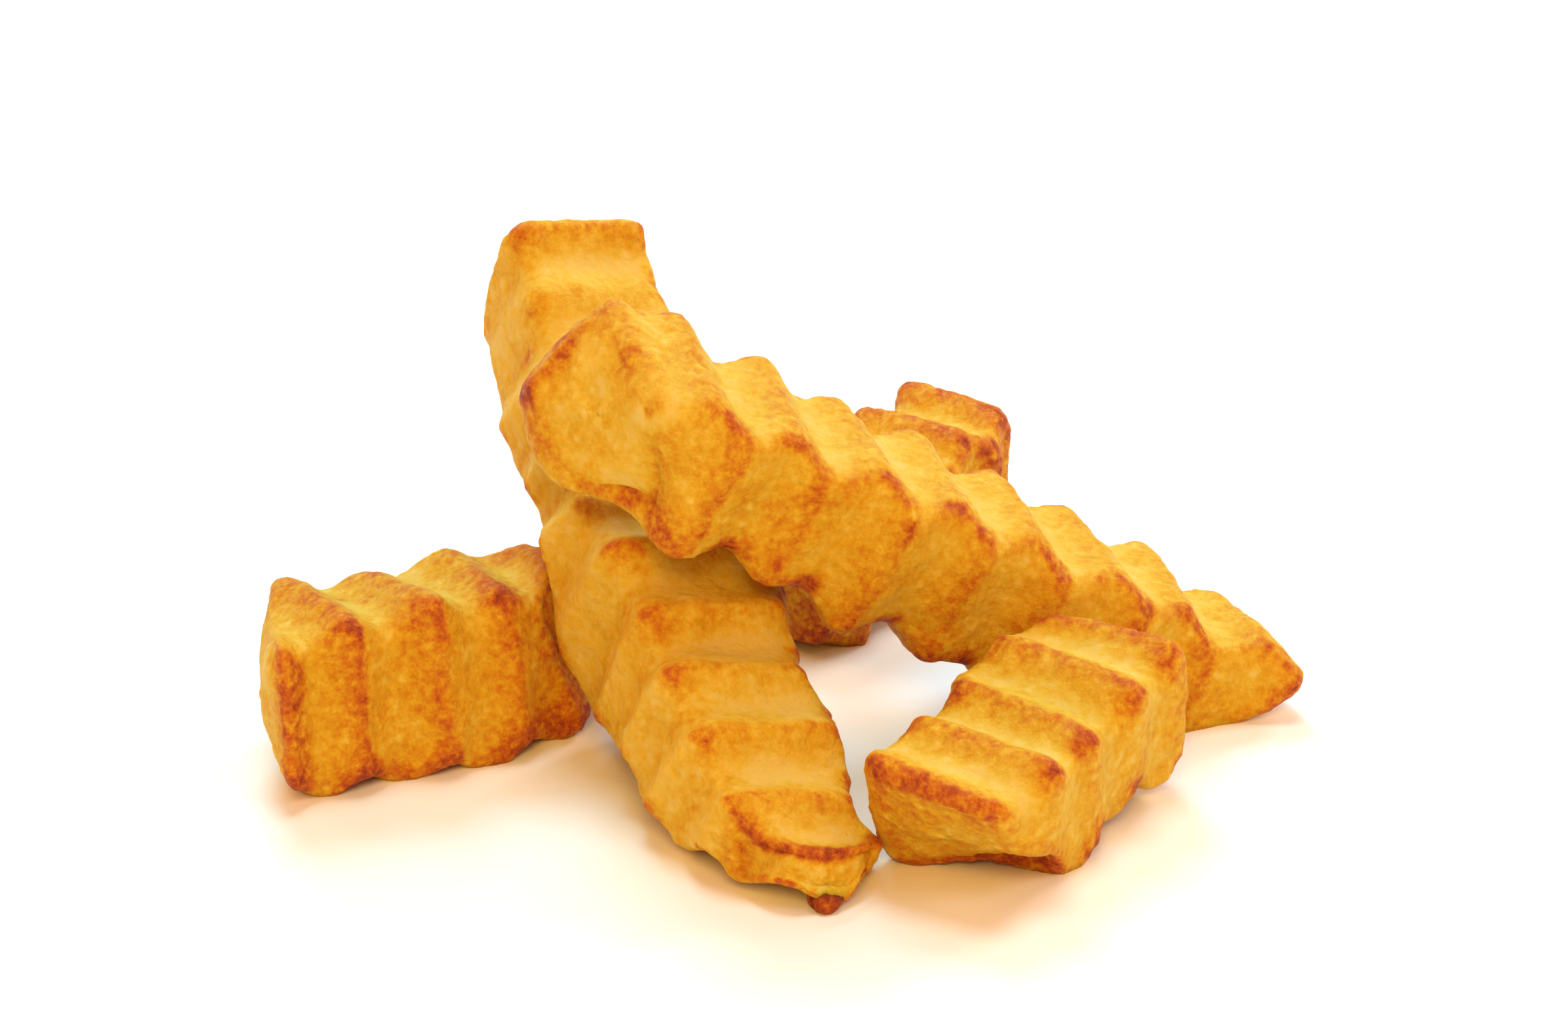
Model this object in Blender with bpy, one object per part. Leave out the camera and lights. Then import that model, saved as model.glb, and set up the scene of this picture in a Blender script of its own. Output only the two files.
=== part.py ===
"""Five crinkle-cut french fries lying in a loose heap."""

import bpy
import bmesh
import math
import random
from mathutils import Vector

MM = 0.001
RINGS_PER_RIDGE = 6
POINTS_ACROSS = 6
POINTS_UP = 5
CORNER_POWER = 7.0
CREST_SHARPNESS = 0.18
RIM_RADIUS = 1.1
BELLY_LENGTH = 5.5
NOTCH_LENGTH = 3.6
FLARE_LENGTH = 10.0
WOBBLE = 0.16
TABLE_LEVEL = 0.0

# Lengths are in millimetres and angles in degrees. Each fry is described at its middle:
# heading is counted from +X towards +Y, climb upwards, roll lifts the right-hand edge,
# and turn, bow and twist are the changes of these three over ten millimetres.
# start and end are where its end faces cut the centre line. across, up and warp slant
# each face, so that it is further along at the right, at the top or in opposite corners.
# rise and depth are the heights above and below the centre line. The underside bulges at
# the belly, and the fry is pinched from below by the notch and from above by the saddle.
# tilt is how much lower the right-hand lower edge hangs than the left-hand one, and flare
# is how far the left-hand side swells outwards at the flare's place.
PLAIN_FRY = {
    "start_across": 0.0, "start_up": 0.0, "start_warp": 0.0,
    "end_across": 0.0, "end_up": 0.0, "end_warp": 0.0,
    "start_width": 0.95, "end_width": 0.95, "tilt": 0.0,
    "belly": 0.0, "belly_place": 0.0, "belly_shift": 0.0,
    "notch": 0.0, "notch_place": 0.0, "saddle": 0.0, "flare": 0.0, "flare_place": 0.0,
    "top_slant": 0.0, "bottom_lag": 0.5,
}
TOP_FRY = {
    **PLAIN_FRY, "name": "fry_top",
    "middle": (9.4, 35.2, 15.6), "heading": 19.2, "climb": -31.2, "roll": -8.0,
    "turn": -1.4, "bow": 0.1, "twist": 3.0,
    "start": -26.7, "start_across": 3.3, "start_up": -0.9, "start_warp": -1.7,
    "end": 28.0, "end_across": 1.2, "end_up": 2.7,
    "width": 12.6, "start_width": 0.97, "end_width": 0.94,
    "rise": 5.0, "depth": 4.8, "start_depth": 4.6, "end_depth": 4.6, "tilt": 1.3,
    "belly": 2.8, "belly_place": -28.0,
    "pitch": 7.1, "top_ridge": 1.3, "side_ridge": 1.0,
    "top_phase": 0.81, "top_slant": -0.04, "side_phase": 0.50,
    "colour": (0.80, 0.43, 0.07), "seed": 11,
}
LEANING_FRY = {
    **PLAIN_FRY, "name": "fry_leaning",
    "middle": (-7.7, 31.6, 10.9), "heading": 111.0, "climb": 30.2, "roll": -12.5,
    "turn": -0.3, "bow": 2.6, "twist": 0.6,
    "start": -27.3, "start_across": 0.8, "end": 31.3, "end_up": 1.6,
    "width": 11.9, "start_width": 0.93, "end_width": 0.97,
    "rise": 5.3, "depth": 5.0, "start_depth": -3.2, "end_depth": 5.6,
    "belly": 4.9, "belly_place": -0.8, "belly_shift": 2.8,
    "notch": 2.4, "notch_place": 7.8, "saddle": 2.1, "flare": 2.2, "flare_place": 6.0,
    "pitch": 5.86, "top_ridge": 1.4, "side_ridge": 1.2,
    "top_phase": 0.40, "side_phase": 0.9,
    "colour": (0.82, 0.46, 0.09), "seed": 23,
}
LEFT_FRY = {
    **PLAIN_FRY, "name": "fry_left",
    "middle": (-24.2, 36.0, 5.6), "heading": 28.8, "climb": 0.8, "roll": 6.7,
    "turn": -2.8, "bow": 1.4, "twist": -0.4,
    "start": -13.4, "start_across": -3.2, "start_up": -1.3,
    "end": 9.9, "end_across": -3.3, "end_up": -1.1,
    "width": 13.0,
    "rise": 6.4, "depth": 6.4, "start_depth": 6.2, "end_depth": 6.2,
    "notch_place": 10.5, "saddle": 1.2,
    "pitch": 6.36, "top_ridge": 1.5, "side_ridge": 1.2,
    "top_phase": 0.30, "bottom_lag": 0.35, "side_phase": 0.35,
    "colour": (0.74, 0.35, 0.05), "seed": 37,
}
RIGHT_FRY = {
    **PLAIN_FRY, "name": "fry_right",
    "middle": (16.25, 17.8, 5.6), "heading": 58.0, "climb": 5.4, "roll": -5.1,
    "turn": 0.45, "bow": 0.9, "twist": 0.3,
    "start": -9.5, "start_across": 1.2, "start_up": -3.3, "start_warp": -1.2,
    "end": 13.1, "end_across": 0.6,
    "width": 12.6, "start_width": 0.94, "end_width": 0.91,
    "rise": 4.8, "depth": 4.8, "start_depth": 5.8, "end_depth": 4.4,
    "pitch": 6.2, "top_ridge": 1.4, "side_ridge": 1.1,
    "top_phase": 0.06, "top_slant": 0.045, "bottom_lag": 0.35, "side_phase": 0.0,
    "colour": (0.82, 0.45, 0.08), "seed": 41,
}
BACK_FRY = {
    **PLAIN_FRY, "name": "fry_back",
    "middle": (7.6, 62.6, 6.0), "heading": 54.4, "climb": 3.4, "roll": -0.7,
    "turn": -0.2, "bow": 0.2, "twist": 0.0,
    "start": -14.8, "end": 12.6,
    "width": 10.8, "start_width": 1.0, "end_width": 0.96,
    "rise": 5.5, "depth": 5.4, "start_depth": 5.3, "end_depth": 5.2,
    "pitch": 6.19, "top_ridge": 1.4, "side_ridge": 1.0,
    "top_phase": 0.78, "side_phase": 0.3,
    "colour": (0.78, 0.40, 0.06), "seed": 53,
}
HEAP = (TOP_FRY, LEANING_FRY, LEFT_FRY, RIGHT_FRY, BACK_FRY)


def clear_scene():
    for obj in list(bpy.data.objects):
        bpy.data.objects.remove(obj, do_unlink=True)


def direction(heading, climb):
    return Vector((
        math.cos(climb) * math.cos(heading),
        math.cos(climb) * math.sin(heading),
        math.sin(climb),
    ))


def frame_at(fry, s):
    """Centre, right-hand and upward directions at the distance s from the fry's middle."""
    steps = 12
    centre = Vector(fry["middle"])
    for i in range(steps):
        part = (i + 0.5) / steps * s / 10.0
        heading = math.radians(fry["heading"] + fry["turn"] * part)
        climb = math.radians(fry["climb"] + fry["bow"] * part)
        centre += direction(heading, climb) * (s / steps)
    heading = math.radians(fry["heading"] + fry["turn"] * s / 10.0)
    climb = math.radians(fry["climb"] + fry["bow"] * s / 10.0)
    roll = math.radians(fry["roll"] + fry["twist"] * s / 10.0)
    along = direction(heading, climb)
    level = Vector((math.sin(heading), -math.cos(heading), 0.0))
    normal = level.cross(along)
    right = level * math.cos(roll) + normal * math.sin(roll)
    up = normal * math.cos(roll) - level * math.sin(roll)
    return centre, right, up


def wave(turns):
    """A ridge profile with narrow crests and broad valleys, one ridge per turn."""
    angle = 2.0 * math.pi * turns
    return math.cos(angle) + CREST_SHARPNESS * math.cos(2.0 * angle)


def smooth(low, middle, high, t):
    """Low at 0, middle at 0.5 and high at 1, without a kink."""
    rest = 4.0 * t * (1.0 - t)
    return (low * (1.0 - t) + high * t) * (1.0 - rest) + middle * rest


def section_outline():
    """Points of a rounded square from -1 to 1, anticlockwise seen along the fry."""
    square = []
    for i in range(POINTS_ACROSS):
        square.append((1.0 - 2.0 * i / POINTS_ACROSS, 1.0))
    for i in range(POINTS_UP):
        square.append((-1.0, 1.0 - 2.0 * i / POINTS_UP))
    for i in range(POINTS_ACROSS):
        square.append((-1.0 + 2.0 * i / POINTS_ACROSS, -1.0))
    for i in range(POINTS_UP):
        square.append((1.0, -1.0 + 2.0 * i / POINTS_UP))
    outline = []
    for a, b in square:
        size = (abs(a) ** CORNER_POWER + abs(b) ** CORNER_POWER) ** (1.0 / CORNER_POWER)
        outline.append((a / size, b / size))
    return outline


def wobble_terms(fry):
    rng = random.Random(fry["seed"])
    terms = []
    for _ in range(5):
        terms.append((
            rng.uniform(0.12, 0.55), rng.uniform(-1.6, 1.6), rng.uniform(-1.6, 1.6),
            rng.uniform(0.0, 6.28),
        ))
    return terms


def surface_point(fry, terms, t, pull_start, pull_end, a, b, inset, fill):
    """A point of the fry: t runs along it, a and b go across and up on its section."""
    c = a * fill
    d = b * fill
    first = fry["start"] + fry["start_across"] * c + fry["start_up"] * d + fry["start_warp"] * c * d
    last = fry["end"] + fry["end_across"] * c + fry["end_up"] * d + fry["end_warp"] * c * d
    s = (first + pull_start) * (1.0 - t) + (last - pull_end) * t
    share = (s - fry["start"]) / (fry["end"] - fry["start"])
    share = min(max(share, 0.0), 1.0)
    half = fry["width"] / 2.0 * smooth(fry["start_width"], 1.0, fry["end_width"], share)
    rise = fry["rise"]
    depth = smooth(fry["start_depth"], fry["depth"], fry["end_depth"], share)
    bulge = math.exp(-((s - fry["belly_place"]) / BELLY_LENGTH) ** 2)
    dent = math.exp(-((s - fry["notch_place"]) / NOTCH_LENGTH) ** 2)
    depth += fry["belly"] * bulge - fry["notch"] * dent
    rise -= fry["saddle"] * dent
    turns = s / fry["pitch"]
    top = turns - fry["top_phase"] + fry["top_slant"] * a
    side = turns - fry["side_phase"]
    across_ridge = fry["side_ridge"] / 2.0 * (
        (1.0 + a) / 2.0 * wave(side) - (1.0 - a) / 2.0 * wave(side + 0.5)
    )
    up_ridge = fry["top_ridge"] / 2.0 * (
        (1.0 + b) / 2.0 * wave(top) - (1.0 - b) / 2.0 * wave(top + fry["bottom_lag"])
    )
    uneven = 0.0
    for speed, by_a, by_b, start in terms:
        uneven += math.sin(speed * s + by_a * a + by_b * b + start)
    uneven *= WOBBLE
    middle_height = (rise - depth) / 2.0
    half_height = (rise + depth) / 2.0
    x = a * (half - inset) * fill + across_ridge * fill + uneven * a
    y = middle_height + b * (half_height - inset) * fill + up_ridge * fill + uneven * b
    x += fry["belly_shift"] * bulge * (1.0 - d) / 2.0
    swell = math.exp(-((s - fry["flare_place"]) / FLARE_LENGTH) ** 2)
    x -= fry["flare"] * swell * (1.0 - c) / 2.0
    y -= fry["tilt"] * (1.0 + c) / 2.0 * (1.0 - d) / 2.0
    centre, right, up = frame_at(fry, s)
    point = centre + right * x + up * y
    point.z = max(point.z, TABLE_LEVEL)
    return point


def stations(fry):
    """Rings along the fry: place, distance from both end faces, inset and fill."""
    length = fry["end"] - fry["start"]
    count = max(8, round(length / fry["pitch"] * RINGS_PER_RIDGE))
    rim = ((0.0, 1.0), (0.3, 0.5), (1.0, 0.0))
    rings = []
    for fill in (0.3, 0.62, 0.86):
        rings.append((0.0, 0.0, 0.0, RIM_RADIUS, fill))
    for far, deep in rim[:2]:
        rings.append((0.0, far * RIM_RADIUS, 0.0, deep * RIM_RADIUS, 1.0))
    for i in range(count + 1):
        rings.append((i / count, RIM_RADIUS, RIM_RADIUS, 0.0, 1.0))
    for far, deep in reversed(rim[:2]):
        rings.append((1.0, 0.0, far * RIM_RADIUS, deep * RIM_RADIUS, 1.0))
    for fill in (0.86, 0.62, 0.3):
        rings.append((1.0, 0.0, 0.0, RIM_RADIUS, fill))
    return rings


def make_material(name, colour):
    material = bpy.data.materials.new(name)
    material.use_nodes = True
    shader = material.node_tree.nodes["Principled BSDF"]
    shader.inputs["Base Color"].default_value = (colour[0], colour[1], colour[2], 1.0)
    shader.inputs["Roughness"].default_value = 0.55
    shader.inputs["Metallic"].default_value = 0.0
    return material


def build_fry(fry):
    terms = wobble_terms(fry)
    outline = section_outline()
    bm = bmesh.new()
    rings = []
    for t, pull_start, pull_end, inset, fill in stations(fry):
        ring = []
        for a, b in outline:
            point = surface_point(fry, terms, t, pull_start, pull_end, a, b, inset, fill)
            ring.append(bm.verts.new(point * MM))
        rings.append(ring)
    count = len(outline)
    for first, second in zip(rings, rings[1:]):
        for i in range(count):
            j = (i + 1) % count
            bm.faces.new((first[i], first[j], second[j], second[i]))
    for ring in (rings[0], rings[-1]):
        middle = Vector((0.0, 0.0, 0.0))
        for vert in ring:
            middle += vert.co / count
        centre = bm.verts.new(middle)
        for i in range(count):
            j = (i + 1) % count
            bm.faces.new((ring[i], ring[j], centre))
    bmesh.ops.triangulate(bm, faces=list(bm.faces))
    bmesh.ops.recalc_face_normals(bm, faces=list(bm.faces))
    mesh = bpy.data.meshes.new(fry["name"])
    bm.to_mesh(mesh)
    bm.free()
    for polygon in mesh.polygons:
        polygon.use_smooth = True
    obj = bpy.data.objects.new(fry["name"], mesh)
    obj.data.materials.append(make_material("crust_" + fry["name"][4:], fry["colour"]))
    bpy.context.scene.collection.objects.link(obj)
    return obj


def centre_heap(objects):
    """Move the heap so that its bounding box stands on the origin, centred."""
    corners = [vert.co for obj in objects for vert in obj.data.vertices]
    middle_x = (min(c.x for c in corners) + max(c.x for c in corners)) / 2.0
    middle_y = (min(c.y for c in corners) + max(c.y for c in corners)) / 2.0
    lowest = min(c.z for c in corners)
    shift = Vector((middle_x, middle_y, lowest))
    for obj in objects:
        for vert in obj.data.vertices:
            vert.co -= shift


def main():
    clear_scene()
    centre_heap([build_fry(fry) for fry in HEAP])


main()
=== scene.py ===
"""Browned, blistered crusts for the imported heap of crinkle-cut fries."""
import math
import random

import bpy
import numpy as np
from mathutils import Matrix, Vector


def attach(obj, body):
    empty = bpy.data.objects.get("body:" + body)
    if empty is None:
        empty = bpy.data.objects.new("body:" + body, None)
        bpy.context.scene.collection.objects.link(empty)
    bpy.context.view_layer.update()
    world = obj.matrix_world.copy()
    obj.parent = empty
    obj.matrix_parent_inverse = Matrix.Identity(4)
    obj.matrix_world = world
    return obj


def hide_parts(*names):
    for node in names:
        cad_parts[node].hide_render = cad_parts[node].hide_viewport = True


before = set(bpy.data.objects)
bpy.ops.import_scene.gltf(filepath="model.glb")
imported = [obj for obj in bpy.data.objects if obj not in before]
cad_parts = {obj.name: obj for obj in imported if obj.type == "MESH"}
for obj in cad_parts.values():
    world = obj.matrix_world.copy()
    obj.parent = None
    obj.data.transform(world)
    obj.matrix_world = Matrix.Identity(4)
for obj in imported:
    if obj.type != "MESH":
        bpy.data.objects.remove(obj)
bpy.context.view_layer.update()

MM = 0.001
# The heap's middle in the words of the part's source, moved to the frame's origin.
HEAP_SHIFT = (0.422, 39.942, 0.0)

# The mesh: millimetres between its points, and how many rings its end faces and rims have.
GRAIN_MM = 0.22
SECTION_MM = 11.6
OUTLINE_STEPS = 4001
CAP_RINGS = 18
RIM_STEPS = 6
BEND_STEPS = 12

# The fry's form: its corners, its ridges and how far each local change reaches, in millimetres.
CORNER_POWER = 7.0
CREST_ROUNDING = 0.10
CREST_LIFT = 0.12
END_DOME = 0.35
CALM_LENGTH = 4.5
BELLY_LENGTH = 5.5
NOTCH_LENGTH = 3.6
FLARE_LENGTH = 10.0
FLARE_TOP_SHARE = 0.35
BEND_LENGTH = 4.0

# The unevenness: slow waves along the fry, lumps as (height, size), and blisters, in millimetres.
WOBBLE = 0.16
WOBBLE_WAVES = 5
WOBBLE_SPEEDS = (0.12, 0.55)
WOBBLE_SHIFT = 1.6
WOBBLE_TURN = 6.28
LATTICE = 24
RELIEF = ((0.14, 3.6), (0.12, 1.6), (0.08, 0.8), (0.05, 0.45))
BLISTERS = 700
BLISTER_RADII = (0.16, 0.45)
BLISTER_HEIGHTS = (0.12, 0.3)
BLISTER_STEEPNESS = 1.6
BLISTER_FULL = 0.12

# The browning: patches as (strength, size in millimetres), then where it gathers and how it ends.
PATCHES = ((0.35, 2.3), (0.40, 0.9), (0.30, 0.5))
LEAST_PATCH = 0.2
RAGGED = ((0.025, 1.7), (0.012, 0.6))
CLOUDS = ((0.05, 3.1), (0.05, 1.3))
FACE_FROM, FACE_FULL = 0.55, 0.97
BROAD_RIDGE, BROAD_BEFORE, BROAD_AFTER = 0.7, 0.30, 0.07
SHARP_RIDGE, SHARP_BEFORE, SHARP_AFTER = 0.3, 0.09, 0.06
HOLLOW_WIDTH = 0.24
SIDE_HOLLOW = 0.3
EDGE_FROM, EDGE_FULL = 0.76, 0.89
EDGE_START_MM, EDGE_WHOLE_MM = 2.0, 5.0
EDGE_EVEN, EDGE_LAG, EDGE_WIDTH = 0.35, 0.10, 0.28
FOOT_FROM, FOOT_FULL = 0.58, 0.94
FOOT_EVEN, FOOT_LAG, FOOT_WIDTH = 0.45, 0.08, 0.26
RIM_TOAST_MM = 1.4
RIM_SHARE = 0.6
BURN_FROM = 0.58
BURN_ROOM = 0.30

# The burnt spur under the leaning fry's tip.
SPUR_TOAST = 0.84
SPUR_ROWS = 24
SPUR_COLUMNS = 40
SPUR_POLE = 0.04
SPUR_RELIEF = ((0.35, 0.9), (0.15, 0.4))

# Lengths are in millimetres and angles in degrees, in the words of the part's source.
# The toast values say how far each place is browned, from 0 pale to 1 nearly burnt; some
# of the leaning fry's spots add painted shade, and some painted light. A spot is (place along,
# place across, place up, radius, toast), and the spur is (x, y, z, wide, long, high).
PLAIN_FRY = {
    "start_across": 0.0, "start_up": 0.0, "start_warp": 0.0,
    "end_across": 0.0, "end_up": 0.0, "end_warp": 0.0,
    "start_width": 0.95, "end_width": 0.95, "tilt": 0.0,
    "belly": 0.0, "belly_place": 0.0, "belly_shift": 0.0,
    "notch": 0.0, "notch_place": 0.0, "saddle": 0.0, "flare": 0.0, "flare_place": 0.0,
    "top_slant": 0.0, "bottom_lag": 0.5, "side_slant": 0.0,
    "crest": 1.65, "start_rim": 1.1, "end_rim": 1.1,
    "calm": 0.0, "calm_place": 0.0, "edges": (0.0, 0.0), "start_dome": 0.35,
    "start_round": 0.0, "start_bend": 0.0, "start_curl": 0.0, "spur": (), "foot": 0.26,
    "spots": (),
}
TOP_FRY = {
    **PLAIN_FRY, "name": "fry_top",
    "middle": (9.4, 35.2, 15.6), "heading": 19.2, "climb": -31.2, "roll": -8.0,
    "turn": -1.4, "bow": 0.1, "twist": 3.0,
    "start": -26.7, "start_across": 3.3, "start_up": -0.9, "start_warp": -1.7,
    "end": 28.0, "end_across": 1.2, "end_up": 2.7,
    "width": 12.6, "start_width": 0.97, "end_width": 0.94,
    "rise": 5.0, "depth": 4.8, "start_depth": 4.6, "end_depth": 4.6, "tilt": 1.3,
    "belly": 2.8, "belly_place": -28.0,
    "pitch": 7.1, "top_ridge": 1.3, "side_ridge": 0.8,
    "top_phase": 0.81, "top_slant": -0.04, "side_phase": 0.36, "side_slant": 0.06,
    "crest": 1.8, "start_rim": 2.0, "end_rim": 1.3, "edges": (0.26, 0.26),
    "seed": 11,
    "base": 0.27, "valley": -0.17,
    "top": (0.06, 0.26, 0.16), "bottom": (0.40, 0.48, 0.50),
    "left": (0.22, 0.26), "right": (0.24, 0.32), "foot": 0.12,
    "start_toast": (-0.09, 0.20), "end_toast": (0.05, 0.26),
    "spots": (
        (-26.2, 0.9, 0.9, 1.6, -0.3), (-29, -0.95, 0.1, 1.4, 0.34), (-28.8, -0.95, -0.4, 1.3, 0.26),
        (-27.1, -0.05, 0.95, 1.8, 0.18), (-27, 0.3, 0.7, 1.4, 0.1), (-25.5, 0.2, -0.98, 1.1, 0.14),
        (-23, 0.4, -1, 2.3, -0.34), (-20.6, 0.95, -0.86, 1.2, 0.2),
        (-16.8, 1, 0.3, 1, 0.14), (-16, 1, -0.1, 0.9, 0.08), (-14.5, 0.95, -0.95, 1.6, 0.26),
        (-8.6, 0.95, -0.95, 1.6, 0.26), (-2.4, 0.95, -0.95, 1.6, 0.28),
        (3.8, 0.95, -0.95, 1.6, 0.24), (-10, 0.97, 0.65, 0.9, 0.14), (-3.8, 0.97, 0.65, 0.9, 0.12),
        (25.5, 0.9, -0.5, 1.8, 0.14), (29, 0.9, -0.6, 1.2, 0.3), (-27.9, -0.5, -0.5, 0.8, -0.14),
        (-26.9, 0.1, -0.6, 1, -0.1), (-20.6, 1, -0.2, 0.9, -0.12),
    ),
}
LEANING_FRY = {
    **PLAIN_FRY, "name": "fry_leaning",
    "middle": (-7.7, 31.6, 10.9), "heading": 111.0, "climb": 30.2, "roll": -12.5,
    "turn": -0.3, "bow": 2.6, "twist": 0.6,
    "start": -27.7, "start_across": -1.1, "start_up": 0.9, "end": 31.3, "end_up": 1.6,
    "width": 11.9, "start_width": 0.90, "end_width": 0.97,
    "rise": 5.3, "depth": 5.0, "start_depth": -2.2, "end_depth": 5.6,
    "belly": 4.9, "belly_place": -0.8, "belly_shift": 2.8,
    "notch": 2.4, "notch_place": 7.8, "saddle": 2.1, "flare": 2.2, "flare_place": 6.0,
    "pitch": 5.86, "top_ridge": 1.4, "side_ridge": 1.2,
    "top_phase": 0.40, "side_phase": 0.9,
    "crest": 1.5, "start_rim": 0.7, "edges": (0.06, 0.20), "calm": 0.6, "calm_place": 25.6,
    "start_round": 3.2, "start_bend": 0.4, "start_curl": 0.7,
    "spur": (2.8, 8.0, 0.7, 1.15, 1.6, 0.75), "foot": 0.08,
    "seed": 23,
    "base": 0.18, "valley": -0.15,
    "top": (0.15, 0.20, 0.16), "bottom": (0.30, 0.40, 0.40),
    "left": (0.08, 0.14), "right": (0.26, 0.30),
    "start_toast": (0.06, 0.30), "end_toast": (0.05, 0.26),
    "spots": (
        (30.4, -0.86, 0.94, 1.6, 0.14), (27.9, 0.85, 0.9, 2, 0.14), (24, -0.98, 0.73, 1.1, 0.16),
        (22.8, -1, 0.4, 0.9, 0.12), (1.5, -0.72, 0.99, 0.9, 0.2), (0.4, -0.78, 0.97, 0.8, 0.14),
        (-4.6, -0.8, 0.97, 0.8, 0.22), (-5.6, -0.86, 0.95, 0.7, 0.16),
        (-10.1, -0.9, 0.9, 0.8, 0.14), (-15.8, -0.9, 0.9, 0.9, 0.16), (-21.5, -0.9, 0.9, 1.2, 0.12),
        # The first spot on the next line is painted shadow: darker crust across the top where
        # fry_top's shadow falls on this fry.
        (-0.6, 0.1, 1, 3.6, 0.12), (-2, 0.95, 0.85, 1, 0.2), (-6, 0.95, 0.85, 0.9, 0.18),
        (-12, 0.95, 0.85, 1, 0.16), (-18.5, 0.95, 0.85, 1, 0.2), (-24, 0.95, 0.85, 1.4, 0.22),
        (-26.5, 0.05, 1, 1, 0.5), (-26.4, 0.28, 0.98, 0.9, 0.4), (-26.2, -0.25, 0.97, 1, 0.3),
        (-25.2, -0.55, 0.97, 1, 0.3), (-26, 0.6, 0.97, 0.9, 0.3), (-25.1, 0.85, 0.9, 1, 0.3),
        (-23.5, -0.9, 0.9, 1.2, 0.3), (-24.4, -0.75, 0.9, 1, 0.26),
        # The first spot on the next line is painted shade standing in for a small hole in the tip's
        # end; the last one, at -18, is painted light on the top.
        (-27, 0.5, -0.2, 0.7, 0.5), (-26.5, 0.9, 0.5, 1.2, 0.2), (-18, -0.1, 1, 1.8, -0.12),
        # The first two spots on the next line, like the one at -18 above, are painted light: paler
        # crust on the lower top, brightening the place fry_top shades.
        (-7, 0.2, 1, 2, -0.12), (-13, 0.3, 1, 1.6, -0.12), (14, -1, 0.2, 3, -0.06),
    ),
}
LEFT_FRY = {
    **PLAIN_FRY, "name": "fry_left",
    "middle": (-24.2, 36.0, 5.6), "heading": 28.8, "climb": 0.8, "roll": 6.7,
    "turn": -2.8, "bow": 1.4, "twist": -0.4,
    "start": -13.4, "start_across": -3.4, "start_up": -0.65, "start_warp": 0.65,
    "end": 9.9, "end_across": -3.3, "end_up": -1.1,
    "width": 13.0,
    "rise": 6.4, "depth": 6.4, "start_depth": 6.2, "end_depth": 6.2,
    "notch_place": 10.5, "saddle": 1.2,
    "pitch": 6.36, "top_ridge": 1.5, "side_ridge": 1.2,
    "top_phase": 0.30, "bottom_lag": 0.35, "side_phase": 0.35,
    "crest": 1.6, "edges": (0.08, 0.12), "start_rim": 0.6, "start_dome": 2.0,
    "seed": 37,
    "base": 0.32, "valley": -0.14,
    "top": (0.16, 0.26, 0.26), "bottom": (0.45, 0.50, 0.56),
    "left": (0.26, 0.30), "right": (0.20, 0.28),
    "start_toast": (-0.10, 0.08), "end_toast": (0.05, 0.26),
    "spots": (
        (-15.6, 1, 0.7, 1.1, 0.26), (-15.6, 1, 0.4, 1.1, 0.28), (-15.6, 1, 0.1, 1.1, 0.28),
        (-15.6, 1, -0.2, 1.1, 0.28), (-15.6, 1, -0.5, 1.1, 0.26), (-15.5, 1, -0.75, 1.1, 0.22),
        (-7.8, -0.17, 1, 0.8, 0.24), (-6.9, 0.1, 1, 0.7, 0.22), (2.2, 0.8, 0.95, 1.3, 0.28),
        (3.4, 0.5, 1, 1.2, 0.2), (-12, 0.94, -0.9, 1.4, 0.26), (-7.1, 0.97, -0.85, 1.3, 0.24),
        (0, 0.99, -0.8, 1.6, 0.3), (5.2, 0.98, -0.7, 2, 0.42), (6, 1, 0.3, 3, 0.16),
        (5, -0.6, 1, 2, 0.24), (-17, 0.6, 0.6, 1.6, -0.14),
    ),
}
RIGHT_FRY = {
    **PLAIN_FRY, "name": "fry_right",
    "middle": (16.25, 17.8, 5.6), "heading": 58.0, "climb": 5.4, "roll": -5.1,
    "turn": 0.45, "bow": 0.9, "twist": 0.3,
    "start": -9.3, "start_across": 1.2, "start_up": -3.3, "start_warp": -1.2,
    "end": 13.1, "end_across": 0.6,
    "width": 12.6, "start_width": 0.94, "end_width": 0.91,
    "rise": 4.8, "depth": 4.8, "start_depth": 5.8, "end_depth": 4.4,
    "pitch": 6.2, "top_ridge": 1.4, "side_ridge": 0.7,
    "top_phase": 0.06, "top_slant": 0.045, "bottom_lag": 0.35, "side_phase": 0.0,
    "crest": 1.6, "edges": (0.16, 0.10),
    "seed": 41,
    "base": 0.27, "valley": -0.19,
    "top": (0.16, 0.22, 0.20), "bottom": (0.45, 0.50, 0.55),
    "left": (0.26, 0.30), "right": (0.02, 0.08),
    "start_toast": (0.07, 0.24), "end_toast": (0.08, 0.30),
    "spots": (
        (-13.4, -0.95, 0.9, 1.5, 0.26), (-12.8, -0.2, 0.98, 1.2, 0.1),
        (-11.6, 0.75, 0.95, 1.1, 0.14), (-6.8, 0.86, 0.95, 1, 0.16), (-1.1, 0.84, 0.97, 1.2, 0.2),
        (5.2, 0.88, 0.95, 1, 0.14), (11.2, 0.9, 0.86, 1.4, 0.16), (-4.8, 0.99, -0.9, 1.4, 0.34),
        (-0.4, 1, -0.8, 1.4, 0.38), (5.8, 1, -0.75, 1.6, 0.34), (-9, -0.9, 0.2, 1.8, 0.16),
    ),
}
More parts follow.
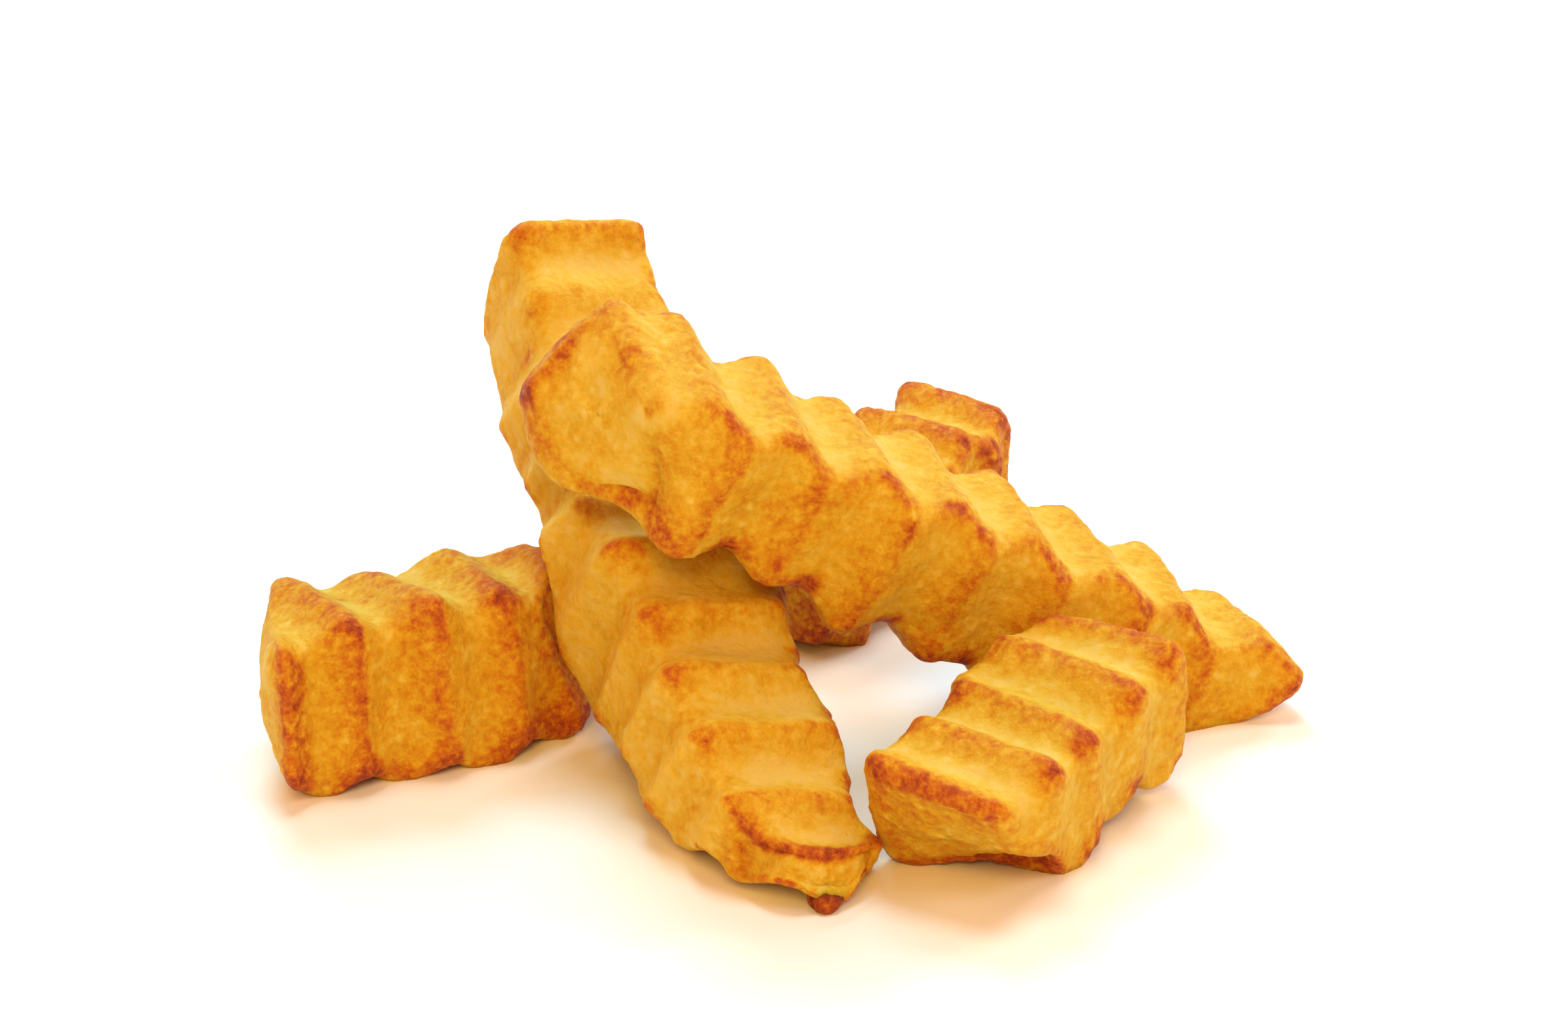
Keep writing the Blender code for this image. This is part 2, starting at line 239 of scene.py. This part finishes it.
BACK_FRY = {
    **PLAIN_FRY, "name": "fry_back",
    "middle": (7.6, 62.6, 6.0), "heading": 54.4, "climb": 3.4, "roll": -0.7,
    "turn": -0.2, "bow": 0.2, "twist": 0.0,
    "start": -14.8, "end": 12.6,
    "width": 10.8, "start_width": 1.0, "end_width": 0.96,
    "rise": 5.5, "depth": 5.4, "start_depth": 5.3, "end_depth": 5.2,
    "pitch": 6.19, "top_ridge": 1.4, "side_ridge": 1.0,
    "top_phase": 0.78, "side_phase": 0.3,
    "seed": 53,
    "base": 0.30, "valley": -0.18,
    "top": (0.22, 0.30, 0.34), "bottom": (0.45, 0.50, 0.55),
    "left": (0.26, 0.34), "right": (0.26, 0.34),
    "start_toast": (0.12, 0.36), "end_toast": (0.10, 0.40),
    "spots": (
        (-14.7, 0.95, -0.7, 2.6, 0.24), (-13.5, 0.3, 0.9, 2, 0.12), (6.5, 0.95, 0.75, 2, 0.2),
        (10, 0.95, 0.5, 2.4, 0.2),
    ),
}
HEAP = (TOP_FRY, LEANING_FRY, LEFT_FRY, RIGHT_FRY, BACK_FRY)


# ------------------------------------------------------------------ shapes
def direction(heading, climb):
    return np.stack((
        np.cos(climb) * np.cos(heading),
        np.cos(climb) * np.sin(heading),
        np.sin(climb),
    ), axis=-1)


def frames(fry, s):
    """Centres, right-hand and upward directions at the distances s from the fry's middle."""
    centre = np.zeros(s.shape + (3,)) + np.array(fry["middle"])
    for i in range(BEND_STEPS):
        part = (i + 0.5) / BEND_STEPS * s / 10.0
        heading = np.radians(fry["heading"] + fry["turn"] * part)
        climb = np.radians(fry["climb"] + fry["bow"] * part)
        centre += direction(heading, climb) * (s / BEND_STEPS)[..., None]
    heading = np.radians(fry["heading"] + fry["turn"] * s / 10.0)
    climb = np.radians(fry["climb"] + fry["bow"] * s / 10.0)
    roll = np.radians(fry["roll"] + fry["twist"] * s / 10.0)[..., None]
    along = direction(heading, climb)
    level = np.stack((np.sin(heading), -np.cos(heading), np.zeros(s.shape)), axis=-1)
    normal = np.cross(level, along)
    right = level * np.cos(roll) + normal * np.sin(roll)
    up = normal * np.cos(roll) - level * np.sin(roll)
    return centre, right, up


def wave(turns, power):
    """A ridge profile with one ridge per turn: round at a power of 2, sharper crests below it."""
    hollow = np.sqrt(np.sin(math.pi * turns) ** 2 + CREST_ROUNDING ** 2)
    return 1.0 + CREST_LIFT - 2.0 * hollow ** power


def smooth(low, middle, high, t):
    """From low through middle to high as t goes from 0 to 1."""
    rest = 4.0 * t * (1.0 - t)
    return (low * (1.0 - t) + high * t) * (1.0 - rest) + middle * rest


def ramp(x, low, high):
    """0 below low, 1 above high, and a smooth step between."""
    t = np.clip((x - low) / (high - low), 0.0, 1.0)
    return t * t * (3.0 - 2.0 * t)


def section_outline(count):
    """Points of a rounded square from -1 to 1, evenly spaced, anticlockwise seen along the fry."""
    angles = np.linspace(0.0, 2.0 * math.pi, OUTLINE_STEPS)
    c, s = np.cos(angles), np.sin(angles)
    size = (np.abs(c) ** CORNER_POWER + np.abs(s) ** CORNER_POWER) ** (1.0 / CORNER_POWER)
    x, y = c / size, s / size
    run = np.concatenate(([0.0], np.cumsum(np.hypot(np.diff(x), np.diff(y)))))
    places = np.arange(count) / count * run[-1]
    return np.interp(places, run, x), np.interp(places, run, y)


def wobble_terms(fry):
    """Speed along, change across, change up and start of each slow wave."""
    rng = random.Random(fry["seed"])
    terms = []
    for _ in range(WOBBLE_WAVES):
        terms.append((
            rng.uniform(*WOBBLE_SPEEDS),
            rng.uniform(-WOBBLE_SHIFT, WOBBLE_SHIFT), rng.uniform(-WOBBLE_SHIFT, WOBBLE_SHIFT),
            rng.uniform(0.0, WOBBLE_TURN),
        ))
    return terms


def stations(fry):
    """Rings along the fry: place, distance from both end faces, inset and fill."""
    caps = [(k + 1) / (CAP_RINGS + 1.0) for k in range(CAP_RINGS)]
    bends = [k * math.pi / (2.0 * RIM_STEPS) for k in range(RIM_STEPS)]
    rim = [(1.0 - math.cos(bend), 1.0 - math.sin(bend)) for bend in bends]
    count = round((fry["end"] - fry["start"]) / GRAIN_MM)
    near, back = fry["start_rim"], fry["end_rim"]
    rings = [(0.0, fry["start_dome"] * (fill ** 2 - 1.0), 0.0, near, fill) for fill in caps]
    rings += [(0.0, far * near, 0.0, deep * near, 1.0) for far, deep in rim]
    rings += [(i / count, near, back, 0.0, 1.0) for i in range(count + 1)]
    rings += [(1.0, 0.0, far * back, deep * back, 1.0) for far, deep in reversed(rim)]
    rings += [(1.0, 0.0, END_DOME * (fill ** 2 - 1.0), back, fill) for fill in reversed(caps)]
    return [np.array(column)[:, None] for column in zip(*rings)]


def surface(fry):
    """The fry's points as rings, with what the browning needs to know of each of them."""
    t, pull_start, pull_end, inset, fill = stations(fry)
    a, b = section_outline(4 * round(SECTION_MM / GRAIN_MM))
    a, b = a[None, :], b[None, :]
    c, d = a * fill, b * fill
    first = fry["start"] + fry["start_across"] * c + fry["start_up"] * d
    first = first + fry["start_warp"] * c * d + fry["start_round"] * c ** 2
    last = fry["end"] + fry["end_across"] * c + fry["end_up"] * d + fry["end_warp"] * c * d
    s = (first + pull_start) * (1.0 - t) + (last - pull_end) * t
    share = np.clip((s - fry["start"]) / (fry["end"] - fry["start"]), 0.0, 1.0)
    half = fry["width"] / 2.0 * smooth(fry["start_width"], 1.0, fry["end_width"], share)
    depth = smooth(fry["start_depth"], fry["depth"], fry["end_depth"], share)
    bulge = np.exp(-((s - fry["belly_place"]) / BELLY_LENGTH) ** 2)
    dent = np.exp(-((s - fry["notch_place"]) / NOTCH_LENGTH) ** 2)
    depth = depth + fry["belly"] * bulge - fry["notch"] * dent
    rise = fry["rise"] - fry["saddle"] * dent
    turns = s / fry["pitch"]
    top = turns - fry["top_phase"] + fry["top_slant"] * a
    side = turns - fry["side_phase"] + fry["side_slant"] * b
    power = fry["crest"]
    calm = 1.0 - fry["calm"] * np.exp(-((s - fry["calm_place"]) / CALM_LENGTH) ** 2)
    across_ridge = calm * fry["side_ridge"] / 2.0 * (
        (1.0 + a) / 2.0 * wave(side, power) - (1.0 - a) / 2.0 * wave(side + 0.5, power)
    )
    up_ridge = calm * fry["top_ridge"] / 2.0 * (
        (1.0 + b) / 2.0 * wave(top, power) - (1.0 - b) / 2.0 * wave(top + fry["bottom_lag"], power)
    )
    uneven = np.zeros(s.shape)
    for speed, by_a, by_b, start in wobble_terms(fry):
        uneven += np.sin(speed * s + by_a * a + by_b * b + start)
    uneven *= WOBBLE
    x = a * (half - inset) * fill + across_ridge * fill + uneven * a
    y = (rise - depth) / 2.0 + b * ((rise + depth) / 2.0 - inset) * fill
    y = y + up_ridge * fill + uneven * b
    x = x + fry["belly_shift"] * bulge * (1.0 - d) / 2.0
    swell = np.exp(-((s - fry["flare_place"]) / FLARE_LENGTH) ** 2)
    lower = FLARE_TOP_SHARE + (1.0 - FLARE_TOP_SHARE) * (1.0 - d) / 2.0
    x = x - fry["flare"] * swell * (1.0 - c) / 2.0 * lower
    y = y - fry["tilt"] * (1.0 + c) / 2.0 * (1.0 - d) / 2.0
    lift = (fry["start_bend"] + fry["start_curl"] * c) * c ** 2
    y = y + lift * np.exp(-((s - fry["start"]) / BEND_LENGTH) ** 2)
    centre, right, up = frames(fry, s)
    points = centre + right * x[..., None] + up * y[..., None]
    known = {
        "s": s, "a": np.broadcast_to(a, s.shape), "b": np.broadcast_to(b, s.shape),
        "fill": np.broadcast_to(fill, s.shape), "top": top, "side": side, "calm": calm,
        "from_start": s - first, "from_end": last - s,
        "start_cap": (t <= 0.0) & (fill < 1.0), "end_cap": (t >= 1.0) & (fill < 1.0),
    }
    return points, known


def lattice(seed):
    """Random heights from -1 to 1 at the corners that lumps() smooths between."""
    return np.random.default_rng(seed).random((LATTICE, LATTICE, LATTICE)) * 2.0 - 1.0


def lumps(points, size, table):
    """Smooth noise from -1 to 1 at the points, with lumps of about that size."""
    q = points / size
    low = np.floor(q).astype(int)
    f = q - low
    f = f * f * (3.0 - 2.0 * f)
    total = np.zeros(points.shape[:-1])
    for dx in (0, 1):
        for dy in (0, 1):
            for dz in (0, 1):
                weight = (
                    (f[..., 0] if dx else 1.0 - f[..., 0])
                    * (f[..., 1] if dy else 1.0 - f[..., 1])
                    * (f[..., 2] if dz else 1.0 - f[..., 2])
                )
                total += weight * table[
                    (low[..., 0] + dx) % LATTICE,
                    (low[..., 1] + dy) % LATTICE,
                    (low[..., 2] + dz) % LATTICE,
                ]
    return total


def layers(points, sizes, table):
    """The sum of several lumps, given as (height, size)."""
    return sum(height * lumps(points, size, table) for height, size in sizes)


def normals(points):
    """Outward normals of the rings' points."""
    along = np.gradient(points, axis=0)
    around = (np.roll(points, -1, axis=1) - np.roll(points, 1, axis=1)) / 2.0
    cross = np.cross(along, around)
    return cross / np.maximum(np.linalg.norm(cross, axis=-1, keepdims=True), 1e-9)


def crest(turns, before, after):
    """1 on a ridge's crest, falling off over the given shares of a ridge before and after it."""
    off = turns - np.round(turns)
    width = np.where(off < 0.0, before, after)
    return np.exp(-(off / width) ** 2)


def toast_and_shading(fry, known, points, table):
    """How far each point is browned, plus the painted shade and painted light of some spots."""
    a, b, fill = known["a"], known["b"], known["fill"]
    outer = 1.0 * (fill >= 1.0)
    faces = {
        "top": (ramp(b, FACE_FROM, FACE_FULL), known["top"], a),
        "bottom": (ramp(-b, FACE_FROM, FACE_FULL), known["top"] + fry["bottom_lag"] + 0.5, a),
        "right": (ramp(a, FACE_FROM, FACE_FULL), known["side"], b),
        "left": (ramp(-a, FACE_FROM, FACE_FULL), known["side"], b),
    }
    patchy = np.maximum(1.0 + layers(points, PATCHES, table), LEAST_PATCH)
    value = np.zeros(a.shape)
    pale = np.zeros(a.shape)
    for name, (weight, turns, across) in faces.items():
        tone = fry[name]
        ragged = turns + layers(points, RAGGED, table)
        ridge = BROAD_RIDGE * crest(ragged, BROAD_BEFORE, BROAD_AFTER)
        ridge = ridge + SHARP_RIDGE * crest(ragged, SHARP_BEFORE, SHARP_AFTER)
        hollow = crest(turns + 0.5, HOLLOW_WIDTH, HOLLOW_WIDTH)
        if len(tone) == 3:
            edge = np.where(across < 0.0, tone[1], tone[2]) * np.abs(across) ** 4
        else:
            edge = tone[1] * np.abs(across) ** 4
        value = np.maximum(value, weight * ridge * (tone[0] + edge) * known["calm"])
        depth = 1.0 if name in ("top", "bottom") else SIDE_HOLLOW
        pale = np.maximum(pale, weight * hollow * depth)
    for side, strength in zip((-a, a), fry["edges"]):
        line = ramp(np.minimum(side, b), EDGE_FROM, EDGE_FULL)
        line = line * ramp(known["from_start"], EDGE_START_MM, EDGE_WHOLE_MM)
        gathered = crest(known["top"] - EDGE_LAG, EDGE_WIDTH, EDGE_WIDTH)
        value = value + strength * line * (EDGE_EVEN + (1.0 - EDGE_EVEN) * gathered)
    gathered = crest(known["side"] - FOOT_LAG, FOOT_WIDTH, FOOT_WIDTH)
    foot = ramp(-b, FOOT_FROM, FOOT_FULL) * (FOOT_EVEN + (1.0 - FOOT_EVEN) * gathered)
    value = (value + fry["foot"] * foot) * patchy + fry["valley"] * pale
    start_inner, start_edge = fry["start_toast"]
    end_inner, end_edge = fry["end_toast"]
    start_rim = np.exp(-(known["from_start"] / RIM_TOAST_MM) ** 2) * outer * start_edge * RIM_SHARE
    end_rim = np.exp(-(known["from_end"] / RIM_TOAST_MM) ** 2) * outer * end_edge * RIM_SHARE
    start_face = start_inner + (start_edge - start_inner) * fill ** 8
    end_face = end_inner + (end_edge - end_inner) * fill ** 8
    value = np.where(known["start_cap"], start_face * patchy, value + start_rim * patchy)
    value = np.where(known["end_cap"], end_face * patchy, value + end_rim * patchy)
    value = value + fry["base"]
    for s, across, up, radius, strength in fry["spots"]:
        near = np.sqrt(
            (known["s"] - s) ** 2
            + ((a * fill - across) * fry["width"] / 2.0) ** 2
            + ((b * fill - up) * fry["rise"]) ** 2
        )
        value = value + strength * np.exp(-(near / radius) ** 2) * patchy
    value = value + layers(points, CLOUDS, table)
    burnt = np.maximum(value - BURN_FROM, 0.0)
    value = np.minimum(value, BURN_FROM) + BURN_ROOM * (1.0 - np.exp(-burnt / BURN_ROOM))
    return np.clip(value, 0.0, 1.0)


def blisters(fry, points):
    """Heights of the small bubbles scattered over the crust."""
    rng = np.random.default_rng(fry["seed"])
    flat = points.reshape(-1, 3)
    height = np.zeros(len(flat))
    picks = rng.choice(len(flat), BLISTERS, replace=False)
    for pick in picks:
        radius = rng.uniform(*BLISTER_RADII)
        near = np.linalg.norm(flat - flat[pick], axis=1)
        tall = radius * rng.uniform(*BLISTER_HEIGHTS)
        height = np.maximum(height, tall * np.exp(-(near / radius) ** 2 * BLISTER_STEEPNESS))
    return height.reshape(points.shape[:-1])


def ring_quads(rows, columns):
    """The points' numbers, ring by ring, and the quads between neighbouring rings."""
    index = np.arange(rows * columns).reshape(rows, columns)
    nxt = np.roll(index, -1, axis=1)
    quads = np.stack((index[:-1], index[1:], nxt[1:], nxt[:-1]), axis=-1).reshape(-1, 4)
    return index, quads


def spur_parts(spur, table):
    """Corner points and quads of the small burnt spur under a fry's tip."""
    x, y, z, wide, long, high = spur
    down = np.linspace(SPUR_POLE, math.pi - SPUR_POLE, SPUR_ROWS)[:, None]
    round_it = np.linspace(0.0, 2.0 * math.pi, SPUR_COLUMNS, endpoint=False)[None, :]
    ball = np.stack((
        np.sin(down) * np.cos(round_it),
        np.sin(down) * np.sin(round_it),
        np.cos(down) + 0.0 * round_it,
    ), axis=-1)
    spot = ball * np.array((wide, long, high)) + np.array((x, y, z))
    spot = spot + ball * layers(spot, SPUR_RELIEF, table)[..., None]
    spot[..., 2] = np.maximum(spot[..., 2], 0.0)
    index, quads = ring_quads(SPUR_ROWS, SPUR_COLUMNS)
    return spot.reshape(-1, 3), quads, [tuple(index[0, ::-1]), tuple(index[-1])]


def build_fry(fry):
    """The fry's crust, which takes the place of its solid."""
    points, known = surface(fry)
    table = lattice(fry["seed"])
    browned_and_shading = toast_and_shading(fry, known, points, table)
    out = normals(points)
    bubbles = blisters(fry, points)
    points = points + out * (layers(points, RELIEF, table) + bubbles)[..., None]
    points[..., 2] = np.maximum(points[..., 2], 0.0)
    points = (points - np.array(HEAP_SHIFT)) * MM
    rows, columns = points.shape[:2]
    start = points[0].mean(axis=0)
    end = points[-1].mean(axis=0)
    coords = np.concatenate((points.reshape(-1, 3), [start, end]))
    index, quads = ring_quads(rows, columns)
    nxt = np.roll(index, -1, axis=1)
    faces = [tuple(int(v) for v in quad) for quad in quads]
    for i in range(columns):
        faces.append((int(index[0, i]), int(nxt[0, i]), rows * columns))
        faces.append((int(nxt[-1, i]), int(index[-1, i]), rows * columns + 1))
    extra = np.zeros((0, 3))
    if fry["spur"]:
        extra, spur_quads, spur_ends = spur_parts(fry["spur"], table)
        first_extra = len(coords)
        for loop in [*spur_quads, *spur_ends]:
            faces.append(tuple(int(v) + first_extra for v in loop))
        coords = np.concatenate((coords, (extra - np.array(HEAP_SHIFT)) * MM))
    mesh = bpy.data.meshes.new(fry["name"].replace("fry", "crust"))
    mesh.from_pydata([tuple(v) for v in coords], [], faces)
    for name, values in (("toast_and_shading", browned_and_shading), ("bubble", bubbles / BLISTER_FULL)):
        layer = mesh.attributes.new(name, "FLOAT", "POINT")
        flat = values.reshape(-1)
        ends = [values[0].mean(), values[-1].mean()]
        burnt = np.full(len(extra), SPUR_TOAST if name == "toast_and_shading" else 0.0)
        layer.data.foreach_set("value", np.concatenate((flat, ends, burnt)).astype(np.float32))
    mesh.polygons.foreach_set("use_smooth", [True] * len(mesh.polygons))
    mesh.update()
    piece = bpy.data.objects.new(mesh.name, mesh)
    bpy.context.scene.collection.objects.link(piece)
    slot = "crust_" + fry["name"][4:]
    mesh.materials.append(crust_material(slot))
    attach(piece, "root")
    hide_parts(fry["name"])


# --------------------------------------------------------------- materials
# Noise sizes are per metre.
BROAD_NOISE, BROAD_AMOUNT = 420.0, 0.26
FINE_NOISE, FINE_BY_TOAST, FINE_LEAST = 1700.0, 1.7, 0.35
BUBBLE_PALER = 0.26
ROUGH_NOISE, ROUGH_LOW, ROUGH_HIGH = 900.0, 0.42, 0.70
GRAIN_NOISE, GRAIN_STRENGTH, GRAIN_DEPTH_M = 1500.0, 0.9, 0.0006
GLOSS = 0.16
GLOW, GLOW_COLOURS, GLOW_DEPTH_M = 0.45, (1.0, 0.42, 0.10), 0.0018
FLOOR_HALF_M = 3.0
FLOOR_WHITE = (0.95, 0.95, 0.95, 1.0)
FLOOR_ROUGHNESS = 0.8
FLOOR_GLOSS = 0.1
# How the crust's colour goes with the browning, and with the painted shade and light some spots add,
# from pale to burnt.
CRUST_COLOURS = (
    (0.00, (0.930, 0.630, 0.130)),
    (0.14, (0.895, 0.565, 0.054)),
    (0.28, (0.830, 0.450, 0.018)),
    (0.44, (0.750, 0.305, 0.009)),
    (0.60, (0.660, 0.170, 0.009)),
    (0.78, (0.500, 0.090, 0.013)),
    (1.00, (0.280, 0.040, 0.014)),
)


def crust_material(name):
    material = bpy.data.materials.new(name)
    material.use_nodes = True
    tree = material.node_tree
    nodes, links = tree.nodes, tree.links
    shader = nodes["Principled BSDF"]

    def add(kind, **settings):
        node = nodes.new(kind)
        for key, value in settings.items():
            setattr(node, key, value)
        return node

    def noise(scale, detail, roughness=0.55):
        node = add("ShaderNodeTexNoise")
        node.inputs["Scale"].default_value = scale
        node.inputs["Detail"].default_value = detail
        node.inputs["Roughness"].default_value = roughness
        links.new(place.outputs["Object"], node.inputs["Vector"])
        return node.outputs["Fac"]

    def maths(kind, first, second):
        node = add("ShaderNodeMath", operation=kind)
        for socket, value in zip(node.inputs, (first, second)):
            if isinstance(value, (int, float)):
                socket.default_value = value
            else:
                links.new(value, socket)
        return node.outputs[0]

    place = add("ShaderNodeTexCoord")
    browned_and_shading = add("ShaderNodeAttribute", attribute_name="toast_and_shading").outputs["Fac"]
    bubble = add("ShaderNodeAttribute", attribute_name="bubble").outputs["Fac"]
    broad = maths("SUBTRACT", noise(BROAD_NOISE, 4.0), 0.5)
    fine = maths("SUBTRACT", noise(FINE_NOISE, 5.0, 0.7), 0.5)
    value = maths("ADD", browned_and_shading, maths("MULTIPLY", broad, BROAD_AMOUNT))
    speckle = maths("ADD", maths("MULTIPLY", browned_and_shading, FINE_BY_TOAST), FINE_LEAST)
    value = maths("ADD", value, maths("MULTIPLY", fine, speckle))
    value = maths("SUBTRACT", value, maths("MULTIPLY", bubble, BUBBLE_PALER))
    colours = add("ShaderNodeValToRGB")
    stops = colours.color_ramp.elements
    while len(stops) < len(CRUST_COLOURS):
        stops.new(0.5)
    for stop, (place_on_ramp, colour) in zip(stops, CRUST_COLOURS):
        stop.position = place_on_ramp
        stop.color = (*colour, 1.0)
    links.new(value, colours.inputs["Fac"])
    links.new(colours.outputs["Color"], shader.inputs["Base Color"])
    rough = add("ShaderNodeMapRange")
    rough.inputs["From Min"].default_value = 0.3
    rough.inputs["From Max"].default_value = 0.7
    rough.inputs["To Min"].default_value = ROUGH_LOW
    rough.inputs["To Max"].default_value = ROUGH_HIGH
    links.new(noise(ROUGH_NOISE, 3.0), rough.inputs["Value"])
    links.new(rough.outputs["Result"], shader.inputs["Roughness"])
    shader.inputs["Specular IOR Level"].default_value = GLOSS
    shader.inputs["Subsurface Weight"].default_value = GLOW
    shader.inputs["Subsurface Radius"].default_value = GLOW_COLOURS
    shader.inputs["Subsurface Scale"].default_value = GLOW_DEPTH_M
    grain = add("ShaderNodeBump")
    grain.inputs["Strength"].default_value = GRAIN_STRENGTH
    grain.inputs["Distance"].default_value = GRAIN_DEPTH_M
    links.new(noise(GRAIN_NOISE, 6.0, 0.68), grain.inputs["Height"])
    links.new(grain.outputs["Normal"], shader.inputs["Normal"])
    return material


# ------------------------------------------------------- surroundings
def build_floor():
    mesh = bpy.data.meshes.new("floor")
    half = FLOOR_HALF_M
    mesh.from_pydata(
        [(-half, -half, 0.0), (half, -half, 0.0), (half, half, 0.0), (-half, half, 0.0)],
        [], [(0, 1, 2, 3)],
    )
    floor = bpy.data.objects.new("floor", mesh)
    bpy.context.scene.collection.objects.link(floor)
    material = bpy.data.materials.new("floor_white")
    material.use_nodes = True
    shader = material.node_tree.nodes["Principled BSDF"]
    shader.inputs["Base Color"].default_value = FLOOR_WHITE
    shader.inputs["Roughness"].default_value = FLOOR_ROUGHNESS
    shader.inputs["Specular IOR Level"].default_value = FLOOR_GLOSS
    mesh.materials.append(material)


LAMP_DISTANCE = 1.2
LAMP_SIZE = 0.45
LAMP_TARGET = (0.0, 0.0, 0.01)
EYE_MM = (-0.422, -299.629, 140.15)
LOOK_AT_MM = (-0.422, -9.942, 20.34)
LENS_MM = 101.7
SENSOR_MM = 36.0
FILL_COLOUR = (0.470, 0.285, 0.200)
# Each lamp: name, degrees clockwise from straight behind the heap, degrees above the floor, watts
# of red, green and blue.
LAMPS = (
    ("back_low", -15.0, 30.0, (1.3, 2.9, 3.9)),
    ("back_high", -15.0, 50.0, (1.4, 4.9, 6.8)),
    ("left_low", -62.0, 30.0, (3.0, 1.2, 0.5)),
    ("right_low", 42.0, 32.0, (5.5, 4.7, 4.6)),
    ("overhead", 8.0, 84.0, (3.2, 4.6, 4.8)),
    ("front", 180.0, 38.0, (6.8, 4.5, 1.0)),
    ("front_right", 125.0, 45.0, (2.0, 1.8, 1.9)),
)


def add_lamp(name, azimuth, height, watts):
    light = bpy.data.lights.new(name, "AREA")
    light.shape = "DISK"
    light.size = LAMP_SIZE
    light.energy = max(watts)
    light.color = tuple(part / max(watts) for part in watts)
    azimuth, height = math.radians(azimuth), math.radians(height)
    lamp = bpy.data.objects.new(name, light)
    lamp.location = LAMP_DISTANCE * Vector((
        math.cos(height) * math.sin(azimuth), math.cos(height) * math.cos(azimuth), math.sin(height),
    ))
    lamp.rotation_mode = "QUATERNION"
    lamp.rotation_quaternion = (Vector(LAMP_TARGET) - lamp.location).to_track_quat("-Z", "Y")
    bpy.context.scene.collection.objects.link(lamp)


def build_light():
    world = bpy.data.worlds.new("studio")
    bpy.context.scene.world = world
    world.use_nodes = True
    tree = world.node_tree
    fill = tree.nodes["Background"]
    fill.inputs["Color"].default_value = (*FILL_COLOUR, 1.0)
    fill.inputs["Strength"].default_value = 1.0
    backdrop = tree.nodes.new("ShaderNodeBackground")
    backdrop.inputs["Color"].default_value = (1.0, 1.0, 1.0, 1.0)
    backdrop.inputs["Strength"].default_value = 1.0
    rays = tree.nodes.new("ShaderNodeLightPath")
    mix = tree.nodes.new("ShaderNodeMixShader")
    tree.links.new(rays.outputs["Is Camera Ray"], mix.inputs["Fac"])
    tree.links.new(fill.outputs["Background"], mix.inputs[1])
    tree.links.new(backdrop.outputs["Background"], mix.inputs[2])
    tree.links.new(mix.outputs["Shader"], tree.nodes["World Output"].inputs["Surface"])
    for lamp in LAMPS:
        add_lamp(*lamp)


def build_camera():
    camera = bpy.data.cameras.new("camera")
    camera.sensor_width = SENSOR_MM
    camera.lens = LENS_MM
    camera.clip_start = 0.01
    camera.clip_end = 20.0
    eye = bpy.data.objects.new("camera", camera)
    target = Vector(LOOK_AT_MM) * MM
    eye.location = Vector(EYE_MM) * MM
    eye.rotation_mode = "QUATERNION"
    eye.rotation_quaternion = (target - eye.location).to_track_quat("-Z", "Y")
    bpy.context.scene.collection.objects.link(eye)
    bpy.context.scene.camera = eye


build_camera()
build_light()
build_floor()
for one_fry in HEAP:
    build_fry(one_fry)
bpy.context.scene.view_settings.view_transform = "Standard"

bpy.context.view_layer.update()
